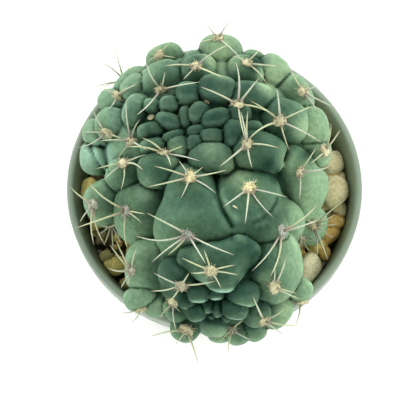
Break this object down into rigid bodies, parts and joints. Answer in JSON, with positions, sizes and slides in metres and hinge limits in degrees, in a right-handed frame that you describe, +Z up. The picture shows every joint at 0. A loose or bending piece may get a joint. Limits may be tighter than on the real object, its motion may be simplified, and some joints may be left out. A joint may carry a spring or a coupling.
{
  "type": "potted chin cactus",
  "caption": "Two-headed globular chin cactus with rounded tubercles, woolly areoles and radial spines, in gravel-topped soil in a round tapered pot.",
  "frame": {"origin": "centre of the pot's base, on the surface the pot stands on", "axes": "+Z up along the pot's axis; +Y towards the plant's larger head; +X to the right with +Y away"},
  "size_m": [0.105, 0.1189, 0.1282],
  "materials": {
    "pot_plastic": "grey-green moulded polypropylene, satin",
    "soil": "dark damp potting soil, matt",
    "gravel": "cream, ochre and grey grit and small stones, matt",
    "plant": "waxy blue-green skin, satin, with cream wool and straw spines"
  },
  "bodies": {
    "root": {"pot": "pot_plastic", "soil": "soil", "gravel": "gravel", "cactus": "plant"}
  },
  "joints": []
}
